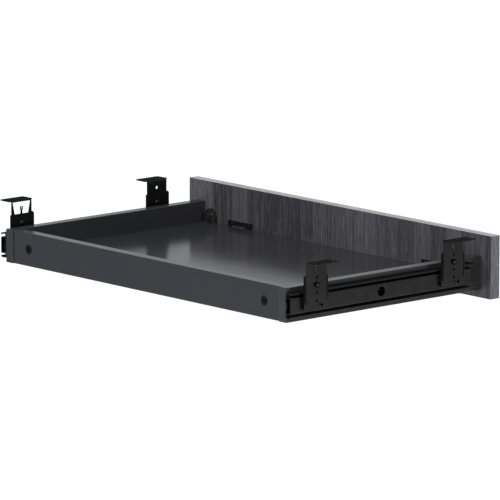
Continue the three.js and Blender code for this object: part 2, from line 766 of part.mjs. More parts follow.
SIDES.forEach(({ name, sign }) => {
  STATIONS.forEach((station) => {
    const at = `${name}_${station.name}`;
    // Left and right brackets are the same pressing turned round, so their short flange swaps ends.
    place(`hanger_bracket_${at}`, hangerBracket(sign, station.y, sign), blackSteel);
    const windowed = name === 'right' && station.name === 'rear';
    place(`hanger_plate_${at}`, hangerPlate(sign, station.y, windowed), blackSteel);
    place(`height_bolt_${at}`, heightBolt(sign, station.y), blackZinc);
    place(`height_nut_${at}`, heightNut(sign, station.y), blackZinc);
    [-1, 1].forEach((end, i) => place(`foot_rivet_${at}_${i + 1}`,
      footRivet(sign, station.y + end * rivetSpacing / 2), blackSteel));
  });
});

export default drawer;
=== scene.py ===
# Under-desk keyboard drawer: black laminated tray, charcoal woodgrain front, two ball-bearing slides
# and four height-adjustable steel hangers. Each section below makes one piece or one group of like
# pieces, in the order in which the drawer is put together.
import math

import bmesh
import bpy
from mathutils import Matrix, Vector


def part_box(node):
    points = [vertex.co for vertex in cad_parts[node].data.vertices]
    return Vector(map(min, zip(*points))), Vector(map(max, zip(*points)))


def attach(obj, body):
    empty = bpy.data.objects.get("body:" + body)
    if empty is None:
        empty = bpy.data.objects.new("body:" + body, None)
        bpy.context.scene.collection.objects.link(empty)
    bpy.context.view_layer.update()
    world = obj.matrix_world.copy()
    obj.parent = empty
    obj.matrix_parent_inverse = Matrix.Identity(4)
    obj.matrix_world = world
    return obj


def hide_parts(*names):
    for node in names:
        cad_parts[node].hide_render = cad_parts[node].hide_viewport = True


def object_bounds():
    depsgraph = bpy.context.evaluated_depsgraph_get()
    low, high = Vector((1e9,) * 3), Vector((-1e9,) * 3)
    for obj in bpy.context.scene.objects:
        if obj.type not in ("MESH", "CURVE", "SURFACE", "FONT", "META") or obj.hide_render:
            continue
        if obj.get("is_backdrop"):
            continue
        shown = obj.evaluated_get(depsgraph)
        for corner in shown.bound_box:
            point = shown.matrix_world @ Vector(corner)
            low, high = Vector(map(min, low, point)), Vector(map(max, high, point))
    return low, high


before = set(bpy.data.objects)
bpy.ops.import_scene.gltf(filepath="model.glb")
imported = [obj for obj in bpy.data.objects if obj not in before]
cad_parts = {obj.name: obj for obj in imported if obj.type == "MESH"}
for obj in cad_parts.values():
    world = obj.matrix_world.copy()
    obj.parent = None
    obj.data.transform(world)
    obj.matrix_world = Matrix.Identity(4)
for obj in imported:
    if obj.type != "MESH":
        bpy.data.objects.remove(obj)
cad_low, cad_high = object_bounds()

# ---- Side boards ---------------------------------------------------------------------------------
# Two 16 mm particle boards faced with black melamine, with edge banding melted on round the rim and
# eased with a trimmer. Each carries a slide on its outer face and takes dowels and a cam bolt.

MM = 0.001
SIDES = {"left": -1, "right": 1}
datum = Vector((0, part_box("side_panel_left")[1].y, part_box("side_panel_left")[0].z))
half_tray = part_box("side_panel_right")[1].x / MM


def cad_box(node):
    """A node's lowest and highest corner in millimetres from the tray's datum."""
    return [(corner - datum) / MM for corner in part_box(node)]


def out(sign, distance):
    """x of a point that stands that far outside the tray's side face."""
    return sign * (half_tray + distance)


def scratch(mesh):
    piece = bpy.data.objects.new("scratch", mesh)
    bpy.context.scene.collection.objects.link(piece)
    return piece


def from_bmesh(bm):
    bmesh.ops.recalc_face_normals(bm, faces=bm.faces)
    mesh = bpy.data.meshes.new("scratch")
    bm.to_mesh(mesh)
    bm.free()
    return scratch(mesh)


def prism(outline, axis, start, end):
    """An outline drawn in the two other axes, pushed along the named one."""
    u, v, w = {"x": (1, 2, 0), "y": (0, 2, 1), "z": (0, 1, 2)}[axis]
    bm = bmesh.new()
    rings = []
    for along in (start, end):
        ring = []
        for a, b in outline:
            point = [0, 0, 0]
            point[u], point[v], point[w] = a, b, along
            ring.append(bm.verts.new(point))
        rings.append(ring)
        bm.faces.new(ring)
    for i in range(len(outline)):
        j = (i + 1) % len(outline)
        bm.faces.new((rings[0][i], rings[0][j], rings[1][j], rings[1][i]))
    return from_bmesh(bm)


def slab(a, b):
    return prism([(a[0], a[1]), (b[0], a[1]), (b[0], b[1]), (a[0], b[1])], "z", a[2], b[2])


def circle(u, v, diameter, steps=32):
    turns = [2 * math.pi * (i + 0.5) / steps for i in range(steps)]
    return [(u + diameter / 2 * math.cos(t), v + diameter / 2 * math.sin(t)) for t in turns]


def hole(axis, centre, diameter, start, end, steps=32):
    return prism(circle(*centre, diameter, steps), axis, start, end)


def combine(body, tools, operation="DIFFERENCE"):
    """Cuts the tools from the body, or joins them to it, one at a time."""
    for tool in tools:
        step = body.modifiers.new("step", "BOOLEAN")
        step.object = tool
        step.operation = operation
        step.solver = "EXACT"
        graph = bpy.context.evaluated_depsgraph_get()
        mesh = bpy.data.meshes.new_from_object(body.evaluated_get(graph))
        body.modifiers.clear()
        body.data = mesh
        bpy.data.objects.remove(tool)
    return body


def merged(pieces):
    """Several separate solids as one mesh."""
    bm = bmesh.new()
    for piece in pieces:
        bm.from_mesh(piece.data)
        bpy.data.objects.remove(piece)
    return from_bmesh(bm)


def finished(piece, name, body, nodes, materials, ease=0.2, steps=2, paint=None, on_rim=None,
             flat=True):
    """Eases the sharp edges, marks them as rim, paints the faces and sets the piece in the frame.
    With on_rim, only the edges whose two ends pass it are eased; with flat, level faces are joined."""
    bm = bmesh.new()
    bm.from_mesh(piece.data)
    bmesh.ops.remove_doubles(bm, verts=bm.verts, dist=0.002)
    if flat:
        bmesh.ops.dissolve_limit(bm, angle_limit=math.radians(0.5), verts=bm.verts, edges=bm.edges)
    rim = bm.faces.layers.float.new("rim")
    if ease:
        sharp = [e for e in bm.edges if len(e.link_faces) == 2 and e.calc_face_angle(0) > math.radians(38)]
        if on_rim:
            sharp = [e for e in sharp if all(on_rim(vert.co) for vert in e.verts)]
        eased = bmesh.ops.bevel(bm, geom=sharp, offset=ease, segments=steps, profile=0.5,
                                affect="EDGES", clamp_overlap=True)
        for face in eased["faces"]:
            face[rim] = 1
    for face in bm.faces:
        face.smooth = True
        if paint:
            face.material_index = paint(face.calc_center_median(), face.normal)
    mesh = bpy.data.meshes.new(name)
    bm.transform(Matrix.Translation(datum) @ Matrix.Scale(MM, 4))
    bm.to_mesh(mesh)
    bm.free()
    mesh.set_sharp_from_angle(angle=math.radians(38))
    bpy.data.objects.remove(piece)
    made = bpy.data.objects.new(name, mesh)
    bpy.context.scene.collection.objects.link(made)
    even = made.modifiers.new("even_shading", "WEIGHTED_NORMAL")
    even.keep_sharp = True
    for material in materials:
        mesh.materials.append(material)
    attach(made, body)
    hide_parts(*nodes)
    return made


def node(tree, kind, inputs=None, **settings):
    made = tree.nodes.new("ShaderNode" + kind)
    for key, value in settings.items():
        setattr(made, key, value)
    for key, value in (inputs or {}).items():
        if isinstance(value, bpy.types.NodeSocket):
            tree.links.new(value, made.inputs[key])
        else:
            made.inputs[key].default_value = value
    return made


def math_node(tree, operation, *values, clamp=False):
    made = node(tree, "Math", dict(enumerate(values)), operation=operation)
    made.use_clamp = clamp
    return made.outputs[0]


def ramp(tree, factor, stops):
    """A colour ramp; stops are (position, (r, g, b)) pairs or (position, grey) pairs."""
    made = node(tree, "ValToRGB", {"Fac": factor})
    elements = made.color_ramp.elements
    while len(elements) < len(stops):
        elements.new(0.5)
    for element, (position, colour) in zip(elements, stops):
        element.position = position
        rgb = colour if isinstance(colour, tuple) else (colour,) * 3
        element.color = (*rgb, 1)
    return made.outputs["Color"]


def new_group(name, inputs, outputs):
    """An effect with named inputs (name, socket kind, default) and named outputs (name, kind)."""
    tree = bpy.data.node_groups.new(name, "ShaderNodeTree")
    for label, kind, default in inputs:
        socket = tree.interface.new_socket(label, in_out="INPUT", socket_type="NodeSocket" + kind)
        socket.default_value = default
    for label, kind in outputs:
        tree.interface.new_socket(label, in_out="OUTPUT", socket_type="NodeSocket" + kind)
    return tree, tree.nodes.new("NodeGroupInput"), tree.nodes.new("NodeGroupOutput")


def use_group(tree, group, **inputs):
    made = tree.nodes.new("ShaderNodeGroup")
    made.node_tree = group
    for key, value in inputs.items():
        label = key.replace("_", " ").capitalize()
        if isinstance(value, bpy.types.NodeSocket):
            tree.links.new(value, made.inputs[label])
        else:
            made.inputs[label].default_value = value
    return made.outputs


def new_material(name, **constants):
    """A material with its shader; constants are set on the shader's own sockets."""
    material = bpy.data.materials.new(name)
    material.use_nodes = True
    shader = material.node_tree.nodes["Principled BSDF"]
    for key, value in constants.items():
        label = key.replace("_", " ").title().replace("Ior", "IOR")
        shader.inputs[label].default_value = value
    return material, material.node_tree, shader


def bump(tree, shader, height, strength, distance, normal=None):
    inputs = {"Height": height, "Strength": strength, "Distance": distance}
    if normal:
        inputs["Normal"] = normal
    made = node(tree, "Bump", inputs)
    tree.links.new(made.outputs["Normal"], shader.inputs["Normal"])
    return made.outputs["Normal"]


# Handling marks: soft smudges and sparse dust that change how rough and how dark a surface is.
handling, put_in, put_out = new_group(
    "handling_marks",
    [("Size", "Float", 20.0), ("Dust", "Float", 0.5)],
    [("Smudge", "Float"), ("Specks", "Float")])
where = node(handling, "TexCoord").outputs["Object"]
soft = node(handling, "TexNoise", {"Vector": where, "Scale": put_in.outputs["Size"], "Detail": 4.0,
                                   "Roughness": 0.55, "Distortion": 0.6})
grit = node(handling, "TexNoise", {"Vector": where, "Scale": 2600.0, "Detail": 1.0})
specks = math_node(handling, "MULTIPLY", math_node(handling, "GREATER_THAN", grit.outputs["Fac"], 0.735),
                   put_in.outputs["Dust"])
handling.links.new(soft.outputs["Fac"], put_out.inputs["Smudge"])
handling.links.new(specks, put_out.inputs["Specks"])

# Rim mask: patches on the eased edges, from the mesh's own rim mark. Most finishes use it for handling wear;
# the woodgrain uses it for a painted highlight along its eased edges.
rim_wear_and_highlight, put_in, put_out = new_group(
    "rim_wear_and_highlight_group",
    [("Amount", "Float", 0.5), ("Size", "Float", 300.0)],
    [("Mask", "Float")])
rim_mark = node(rim_wear_and_highlight, "Attribute", attribute_name="rim")
patchy = node(rim_wear_and_highlight, "TexNoise", {"Vector": node(rim_wear_and_highlight, "TexCoord").outputs["Object"],
                                   "Scale": put_in.outputs["Size"], "Detail": 3.0})
patchy_rim_mask = math_node(rim_wear_and_highlight, "MULTIPLY", rim_mark.outputs["Fac"],
                 ramp(rim_wear_and_highlight, patchy.outputs["Fac"], [(0.46, 0.0), (0.62, 1.0)]))
rim_wear_and_highlight.links.new(math_node(rim_wear_and_highlight, "MULTIPLY", patchy_rim_mask, put_in.outputs["Amount"]), put_out.inputs["Mask"])


def black_melamine(name, roughness):
    """Black decor paper under a satin melamine skin: fine pearl texture, faint smudges, little dust."""
    material, tree, shader = new_material(name, ior=1.5)
    marks = use_group(tree, handling, size=9.0, dust=0.5)
    where = node(tree, "TexCoord").outputs["Object"]
    mottle = node(tree, "TexNoise", {"Vector": where, "Scale": 900.0, "Detail": 2.0})
    base = ramp(tree, mottle.outputs["Fac"], [(0.3, (0.024, 0.0245, 0.0285)), (0.7, (0.033, 0.0335, 0.0385))])
    rim_wear_and_highlight_mask = use_group(tree, rim_wear_and_highlight, amount=0.25, size=240.0)["Mask"]
    mixed = node(tree, "Mix", {0: rim_wear_and_highlight_mask, "A": base, "B": (0.1, 0.1, 0.11, 1)}, data_type="RGBA")
    dust = math_node(tree, "MULTIPLY", marks["Specks"], 0.35)
    dusty = node(tree, "Mix", {0: dust, "A": mixed.outputs["Result"], "B": (0.16, 0.16, 0.16, 1)},
                 data_type="RGBA")
    tree.links.new(dusty.outputs["Result"], shader.inputs["Base Color"])
    wobble = math_node(tree, "MULTIPLY_ADD", marks["Smudge"], 0.1, roughness - 0.05)
    tree.links.new(math_node(tree, "ADD", wobble, math_node(tree, "MULTIPLY", marks["Specks"], 0.2)),
                   shader.inputs["Roughness"])
    pearl = node(tree, "TexVoronoi", {"Vector": where, "Scale": 1300.0}, feature="SMOOTH_F1")
    bump(tree, shader, pearl.outputs["Distance"], 0.06, 0.0001)
    return material


def particle_core(name):
    """Pressed wood chips, seen only in the walls of bored holes."""
    material, tree, shader = new_material(name, roughness=0.9)
    chips = node(tree, "TexVoronoi", {"Vector": node(tree, "TexCoord").outputs["Object"], "Scale": 900.0})
    tone = node(tree, "SeparateColor", {"Color": chips.outputs["Color"]}).outputs["Red"]
    tree.links.new(ramp(tree, tone, [(0.0, (0.05, 0.032, 0.018)), (1.0, (0.17, 0.115, 0.065))]),
                   shader.inputs["Base Color"])
    bump(tree, shader, chips.outputs["Distance"], 0.5, 0.0003)
    return material


melamine = black_melamine("black_melamine_face", 0.15)
banding = black_melamine("black_edge_banding", 0.22)
core = particle_core("particle_board_core")


def board(name, body, cad_node, ease, materials, bores=()):
    """A board cut to its CAD box: big faces, banded rim, and chip core wherever it is bored."""
    low, high = cad_box(cad_node)
    size = high - low
    thin = min(range(3), key=lambda axis: size[axis])

    def paint(centre, normal):
        if all(low[axis] + ease < centre[axis] < high[axis] - ease for axis in range(3)):
            return 2
        return 0 if abs(normal[thin]) > 0.5 else 1

    def on_rim(point):
        to_faces = [min(abs(point[axis] - low[axis]), abs(point[axis] - high[axis])) for axis in range(3)]
        return sum(distance < 0.01 for distance in to_faces) > 1

    blank = combine(slab(low, high), bores)
    return finished(blank, name, body, [cad_node], materials, ease, 3, paint, on_rim)


black_board = [melamine, banding, core]
bolt_z = sum(corner.z for corner in cad_box("side_panel_left")) / 2
for side, sign in SIDES.items():
    screw_holes = [hole("x", [sum(c.y for c in cad_box(f"channel_screw_{side}_{i}")) / 2, bolt_z], 3.6,
                        out(sign, 1), out(sign, -13), 16) for i in (1, 2, 3)]
    board(f"side_board_{side}", "tray", f"side_panel_{side}", 0.7, black_board, screw_holes)

# ---- Back and bottom boards ----------------------------------------------------------------------
# The back board sits between the side boards, drawn tight by two cam locks bored into its rear face.
# The bottom board is dowelled between the sides, a few millimetres above their lower edges.

CAM_BORE = 15.05
cam_locks = {side: cad_box(f"cam_lock_{side}") for side in SIDES}
back_high = cad_box("back_panel")[1]
cam_bores = [hole("y", [(low.x + high.x) / 2, (low.z + high.z) / 2], CAM_BORE, back_high.y + 1,
                  low.y - 0.3, 48) for low, high in cam_locks.values()]
board("back_board", "tray", "back_panel", 0.7, black_board, cam_bores)
board("bottom_board", "tray", "bottom_panel", 0.4, black_board)

# ---- Front board ---------------------------------------------------------------------------------
# 18 mm board in charcoal woodgrain with the grain upright, wider and taller than the tray. Its rim
# is banded in the same decor; its ends and top are painted lighter than the faces as painted light.


def along_grain(tree, across, along, stretch):
    """Coordinates squeezed along the grain, so that noise on them comes out as fibres."""
    squeezed = math_node(tree, "DIVIDE", along, stretch)
    return node(tree, "CombineXYZ", {"X": across, "Y": squeezed, "Z": 0.0}).outputs[0]


# Upright grain: `across` and `along` are metres on the board's surface.
grain, put_in, put_out = new_group(
    "charcoal_grain",
    [("Across", "Float", 0.0), ("Along", "Float", 0.0)],
    [("Tone", "Float"), ("Pores", "Float")])
across, along = put_in.outputs["Across"], put_in.outputs["Along"]
drift = node(grain, "TexNoise", {"Vector": along_grain(grain, across, along, 4.0), "Scale": 22.0,
                                 "Detail": 2.0})
swayed = math_node(grain, "ADD", across, math_node(grain, "MULTIPLY", drift.outputs["Fac"], 0.0022))
flitch = node(grain, "TexVoronoi", {"W": across, "Scale": 27.0, "Randomness": 1.0},
              voronoi_dimensions="1D")
flitch_tone = node(grain, "SeparateColor", {"Color": flitch.outputs["Color"]}).outputs["Red"]
tone = math_node(grain, "MULTIPLY_ADD", flitch_tone, 0.62, -1.72)
for width, stretch, weight in ((0.0075, 60.0, 0.7), (0.002, 45.0, 1.7), (0.0022, 9.0, 1.3)):
    fibre = along_grain(grain, swayed, along, stretch)
    streak = node(grain, "TexNoise", {"Vector": fibre, "Scale": 1 / width, "Detail": 2.0, "Roughness": 0.6})
    tone = math_node(grain, "MULTIPLY_ADD", streak.outputs["Fac"], weight, tone)
tone = math_node(grain, "ADD", tone, 0.0, clamp=True)
pores = node(grain, "TexNoise", {"Vector": along_grain(grain, swayed, along, 30.0), "Scale": 1500.0,
                                 "Detail": 2.0})
grain.links.new(tone, put_out.inputs["Tone"])
grain.links.new(math_node(grain, "LESS_THAN", pores.outputs["Fac"], 0.38), put_out.inputs["Pores"])


def woodgrain(name, grain_axis, dark, light, roughness):
    """Printed woodgrain decor with pores pressed into the skin and a painted highlight on the eased rim;
    grain_axis is Z or X.
    """
    material, tree, shader = new_material(name, ior=1.5)
    place = node(tree, "SeparateXYZ", {"Vector": node(tree, "TexCoord").outputs["Object"]}).outputs
    crossing = "XY" if grain_axis == "Z" else "YZ"
    across = math_node(tree, "ADD", place[crossing[0]], place[crossing[1]])
    streaks = use_group(tree, grain, across=across, along=place[grain_axis])
    base = ramp(tree, streaks["Tone"], [(0.0, dark), (1.0, light)])
    inked = node(tree, "Mix", {0: math_node(tree, "MULTIPLY", streaks["Pores"], 0.45), "A": base,
                               "B": (*[c * 0.6 for c in dark], 1)}, data_type="RGBA")
    # painted highlight: the eased rim is mixed towards a paler copy of the light tone, for the bright line
    # that the edge catches.
    rim_wear_and_highlight_mask = use_group(tree, rim_wear_and_highlight, amount=0.2, size=300.0)["Mask"]
    rim_highlight_colour = (*[c * 1.5 for c in light], 1)
    rim_highlighted_base = node(tree, "Mix", {0: rim_wear_and_highlight_mask, "A": inked.outputs["Result"], "B": rim_highlight_colour}, data_type="RGBA")
    tree.links.new(rim_highlighted_base.outputs["Result"], shader.inputs["Base Color"])
    marks = use_group(tree, handling, size=8.0, dust=0.3)
    rough = math_node(tree, "MULTIPLY_ADD", marks["Smudge"], 0.12, roughness - 0.06)
    tree.links.new(math_node(tree, "MULTIPLY_ADD", streaks["Pores"], 0.15, rough), shader.inputs["Roughness"])
    height = math_node(tree, "SUBTRACT", math_node(tree, "MULTIPLY", streaks["Tone"], 0.4), streaks["Pores"])
    bump(tree, shader, height, 0.25, 0.00015)
    return material


front_face = woodgrain("charcoal_woodgrain_face", "Z", (0.013, 0.012, 0.0155), (0.072, 0.069, 0.079), 0.5)
# painted light: the end and top faces get lighter copies of the same decor, the top lightest, for the light
# they catch.
painted_lit_end = woodgrain("charcoal_woodgrain_end_painted_light", "Z", (0.11, 0.104, 0.12), (0.36, 0.345, 0.38), 0.5)
painted_lit_top = woodgrain("charcoal_woodgrain_top_painted_light", "X", (0.22, 0.215, 0.23), (0.62, 0.61, 0.64), 0.4)
front_low, front_high = cad_box("front_panel")


def front_paint(centre, normal):
    if abs(normal.y) > 0.5:
        return 0
    return 2 if abs(normal.z) > 0.5 else 1


finished(slab(front_low, front_high), "front_board", "tray", ["front_panel"],
         [front_face, painted_lit_end, painted_lit_top], 0.8, 3, front_paint)

# ---- Cam locks and their bolts, dowels -----------------------------------------------------------
# Cast zinc cams, black passivated, let flush into the back board; a driver turns each by its cross
# slot and it draws in the head of a steel bolt screwed into the side board. Beech dowels hold the rest.


def lathe(axis, direction, start, centre, stations, steps=32):
    """A turned piece: stations are (distance along the axis, diameter); both ends close on the axis."""
    bm = bmesh.new()
    rings = []
    u, v, w = {"x": (1, 2, 0), "y": (0, 2, 1), "z": (0, 1, 2)}[axis]
    for along, diameter in stations:
        ring = []
        for i in range(steps):
            turn = 2 * math.pi * i / steps
            point = [0, 0, 0]
            point[u] = centre[0] + diameter / 2 * math.cos(turn)
            point[v] = centre[1] + diameter / 2 * math.sin(turn)
            point[w] = start + direction * along
            ring.append(bm.verts.new(point))
        rings.append(ring)
    for lower, upper in zip(rings, rings[1:]):
        for i in range(steps):
            j = (i + 1) % steps
            bm.faces.new((lower[i], lower[j], upper[j], upper[i]))
    bm.faces.new(rings[0])
    bm.faces.new(rings[-1])
    return from_bmesh(bm)


def domed(height, diameter, edge, steps=5):
    """Stations of a low dome from its crown down to the full diameter, `edge` above the seat."""
    angles = [math.pi / 2 * (i + 0.35) / (steps + 0.35) for i in range(steps + 1)]
    crown = [((height - edge) * (1 - math.cos(a)), diameter * math.sin(a)) for a in angles]
    return crown + [(height, diameter)]


def cast_metal(name, base, roughness):
    """Die-cast zinc under a black passivation: fine casting skin, rubbed brighter at the edges."""
    material, tree, shader = new_material(name, metallic=0.85, specular_tint=(0.15, 0.15, 0.15, 1))
    where = node(tree, "TexCoord").outputs["Object"]
    skin = node(tree, "TexNoise", {"Vector": where, "Scale": 1600.0, "Detail": 3.0})
    tone = ramp(tree, skin.outputs["Fac"], [(0.3, tuple(c * 0.7 for c in base)), (0.7, base)])
    rim_wear_and_highlight_mask = use_group(tree, rim_wear_and_highlight, amount=0.5, size=500.0)["Mask"]
    mixed = node(tree, "Mix", {0: rim_wear_and_highlight_mask, "A": tone, "B": (0.18, 0.18, 0.18, 1)}, data_type="RGBA")
    tree.links.new(mixed.outputs["Result"], shader.inputs["Base Color"])
    tree.links.new(math_node(tree, "MULTIPLY_ADD", skin.outputs["Fac"], 0.2, roughness - 0.1),
                   shader.inputs["Roughness"])
    bump(tree, shader, skin.outputs["Fac"], 0.2, 0.0001)
    return material


blackened = cast_metal("blackened_zinc", (0.02, 0.02, 0.021), 0.45)
for side, sign in SIDES.items():
    low, high = cam_locks[side]
    centre = [(low.x + high.x) / 2, (low.z + high.z) / 2]
    radius = (high.x - low.x) / 2
    drum = lathe("y", -1, high.y, centre, [(0, 2 * radius - 0.4), (0.06, 2 * radius - 0.15),
                                           (0.2, 2 * radius), (high.y - low.y, 2 * radius)], 48)
    slots = [slab((centre[0] - a, high.y + 1, centre[1] - b), (centre[0] + a, high.y - 2.2, centre[1] + b))
             for a, b in ((5.2, 0.8), (0.8, 2.8))]
    slots.append(prism([(centre[0] - sign * 5.6, centre[1] + 1.1), (centre[0] - sign * 5.6, centre[1] + 3.2),
                        (centre[0] - sign * 3.9, centre[1] + 2.15)], "y", high.y + 1, high.y - 0.5))
    finished(combine(drum, slots), f"cam_{side}", "tray", [f"cam_lock_{side}"], [blackened],
             0.15)


def plated_steel(name, base, roughness, edge=1.0):
    """Zinc plate: a faint blue-yellow bloom, brushed by the header and the thread rolls. `edge` is how
    bright it turns at a grazing angle."""
    material, tree, shader = new_material(name, metallic=1.0, specular_tint=(edge, edge, edge, 1))
    where = node(tree, "TexCoord").outputs["Object"]
    bloom = node(tree, "TexNoise", {"Vector": where, "Scale": 160.0, "Detail": 2.0})
    bluish = tuple(c * t for c, t in zip(base, (0.92, 0.97, 1.04)))
    yellowish = tuple(c * t for c, t in zip(base, (1.05, 1.0, 0.9)))
    tree.links.new(ramp(tree, bloom.outputs["Fac"], [(0.3, bluish), (0.7, yellowish)]),
                   shader.inputs["Base Color"])
    scuffs = node(tree, "TexNoise", {"Vector": where, "Scale": 2200.0, "Detail": 3.0})
    tree.links.new(math_node(tree, "MULTIPLY_ADD", scuffs.outputs["Fac"], 0.22, roughness - 0.11),
                   shader.inputs["Roughness"])
    bump(tree, shader, scuffs.outputs["Fac"], 0.12, 0.00005)
    return material


zinc = plated_steel("zinc_plated_steel", (0.55, 0.56, 0.57), 0.32)
black_plate = plated_steel("black_zinc_plate", (0.05, 0.05, 0.051), 0.36, 0.2)


def thread(length, diameter, pitch, depth):
    """Stations of a threaded shank, one crest to each turn, that ends in a short taper."""
    stations = []
    turns = max(1, int(length / pitch))
    for i in range(turns):
        at = length * i / turns
        stations += [(at, diameter - 2 * depth), (at + 0.3 * pitch, diameter), (at + 0.45 * pitch, diameter)]
    return stations + [(length, diameter - 2 * depth)]


def shifted(stations, distance):
    return [(along + distance, diameter) for along, diameter in stations]


for side, sign in SIDES.items():
    low, high = cad_box(f"cam_bolt_{side}")
    centre = [(low.y + high.y) / 2, (low.z + high.z) / 2]
    reach = high.x - low.x
    start = high.x if sign > 0 else low.x
    stations = thread(8, 5, 1.1, 0.5) + [(8, 9), (10.8, 9), (10.8, 6), (reach - 6, 6), (reach - 5, 4),
                                         (reach - 3, 4), (reach - 2.8, 6.6), (reach - 2.4, 7),
                                         (reach - 0.3, 7), (reach, 6.2)]
    bolt = lathe("x", -sign, start, centre, stations, 24)
    finished(bolt, f"cam_pin_{side}", "tray", [f"cam_bolt_{side}"], [zinc], 0)


def turned_beech(name):
    """Beech rod: warm, with short dark flecks along the grain."""
    material, tree, shader = new_material(name, roughness=0.75)
    where = node(tree, "Mapping", {"Vector": node(tree, "TexCoord").outputs["Object"],
                                   "Scale": (0.06, 1, 1)})
    fleck = node(tree, "TexNoise", {"Vector": where.outputs[0], "Scale": 2400.0, "Detail": 3.0})
    tree.links.new(ramp(tree, fleck.outputs["Fac"], [(0.35, (0.3, 0.17, 0.08)), (0.6, (0.62, 0.43, 0.25))]),
                   shader.inputs["Base Color"])
    bump(tree, shader, fleck.outputs["Fac"], 0.3, 0.0001)
    return material


beech = turned_beech("beech")
for side in SIDES:
    for station in ("rear", "front"):
        low, high = cad_box(f"dowel_{side}_{station}")
        y, z, radius = (low.y + high.y) / 2, (low.z + high.z) / 2, (high.z - low.z) / 2
        fluted = [(y + (radius - 0.25 * (i % 2)) * math.cos(math.pi * i / 24),
                   z + (radius - 0.25 * (i % 2)) * math.sin(math.pi * i / 24)) for i in range(48)]
        pin = prism(fluted, "x", low.x, high.x)
        finished(pin, f"dowel_pin_{side}_{station}", "tray", [f"dowel_{side}_{station}"], [beech], 0)

# ---- Front corner connectors ---------------------------------------------------------------------
# Black moulded blocks in the two front corners: a domed plate screwed to the front board, an arm
# along the side board, a foot on the bottom board and one stiffening rib.


def arc(u, v, radius, start, end, steps=16):
    turns = [math.radians(start + (end - start) * i / steps) for i in range(steps + 1)]
    return [(u + radius * math.cos(t), v + radius * math.sin(t)) for t in turns]


def moulded(name, base, roughness):
    """Moulded black plastic: fine spark-eroded grain, softly shiny."""
    material, tree, shader = new_material(name, ior=1.46)
    where = node(tree, "TexCoord").outputs["Object"]
    marks = use_group(tree, handling, size=60.0, dust=0.6)
    spark = node(tree, "TexNoise", {"Vector": where, "Scale": 2600.0, "Detail": 2.0})
    tree.links.new(ramp(tree, marks["Smudge"], [(0.3, tuple(c * 0.8 for c in base)), (0.7, base)]),
                   shader.inputs["Base Color"])
    tree.links.new(math_node(tree, "MULTIPLY_ADD", spark.outputs["Fac"], 0.2, roughness - 0.1),
                   shader.inputs["Roughness"])
    bump(tree, shader, spark.outputs["Fac"], 0.25, 0.0001)
    return material


plastic = moulded("black_moulded_plastic", (0.009, 0.009, 0.0095), 0.5)
SKIN, DOME, DOME_INSIDE, ARM_HEIGHT = 2.6, 12.25, 10.7, 13
for side, sign in SIDES.items():
    low, high = cad_box(f"corner_connector_{side}")
    wall = high.x if sign > 0 else low.x
    middle = wall - sign * SKIN - sign * DOME
    crown_z = high.z - DOME
    dome = [(middle + DOME, low.z), *arc(middle, crown_z, DOME, 0, 180, 24), (middle - DOME, low.z)]
    plate = prism(dome, "y", low.y, low.y + SKIN)
    web_ends = sorted((wall, wall - sign * 12))
    web = slab((web_ends[0], low.y, low.z), (web_ends[1], low.y + SKIN, low.z + ARM_HEIGHT))
    arm = prism([(low.y, low.z), (high.y, low.z), *arc(high.y - 4, low.z + ARM_HEIGHT - 4, 4, 0, 90, 8),
                 (low.y, low.z + ARM_HEIGHT)], "x", wall, wall - sign * SKIN)
    foot_ends = sorted((wall, wall - sign * 19.6))
    foot = slab((foot_ends[0], low.y, low.z), (foot_ends[1], high.y, low.z + 2.2))
    rib_x = wall - sign * 13.85
    rib = prism([(low.y + 0.5, low.z + 0.5), (high.y - 1, low.z + 0.5), (high.y - 1, low.z + 4.5),
                 (low.y + SKIN, low.z + 8), (low.y + 0.5, low.z + 8)], "x", rib_x - 1, rib_x + 1)
    hollow = [(middle + DOME_INSIDE, low.z - 1), *arc(middle, crown_z, DOME_INSIDE, 0, 180, 24),
              (middle - DOME_INSIDE, low.z - 1)]
    rim_wall = combine(prism(dome, "y", low.y + 1, low.y + 4), [prism(hollow, "y", low.y, low.y + 5)])
    block = combine(plate, [web, arm, foot, rib, rim_wall], "UNION")
    screw = cad_box(f"connector_screw_{side}")
    at = [(screw[0].x + screw[1].x) / 2, (screw[0].z + screw[1].z) / 2]
    combine(block, [hole("y", at, 3.3, low.y - 1, low.y + 4)])
    finished(block, f"corner_block_{side}", "tray", [f"corner_connector_{side}"],
             [plastic], 0.35)

# ---- Front angle brackets ------------------------------------------------------------------------
# Small steel angles, painted black, that tie the bottom board to the front: a leaf on the front
# board with two short toes folded onto the bottom board.


def bent_strip(start, heading, run, thickness, steps=8):
    """Outline of a sheet's edge. `run` is (straight, turn in degrees, mean radius) triples; the
    outline follows both faces, half the thickness to either side of the sheet's middle."""
    point, angle = Vector(start), math.radians(heading)
    left, right = [], []

    def mark():
        across = Vector((-math.sin(angle), math.cos(angle))) * thickness / 2
        left.append(tuple(point + across))
        right.append(tuple(point - across))

    mark()
    for straight, turn, radius in run:
        if straight:
            point = point + Vector((math.cos(angle), math.sin(angle))) * straight
            mark()
        for _ in range(steps if turn else 0):
            swing = math.radians(turn) / steps
            toward = math.copysign(radius, turn)
            pivot = point + Vector((-math.sin(angle), math.cos(angle))) * toward
            angle += swing
            point = pivot - Vector((-math.sin(angle), math.cos(angle))) * toward
            mark()
    return left + right[::-1]


def mirrored(outline, sign):
    """An outline drawn outwards from the tray's side face, put at that side."""
    return [(out(sign, u), v) for u, v in outline]


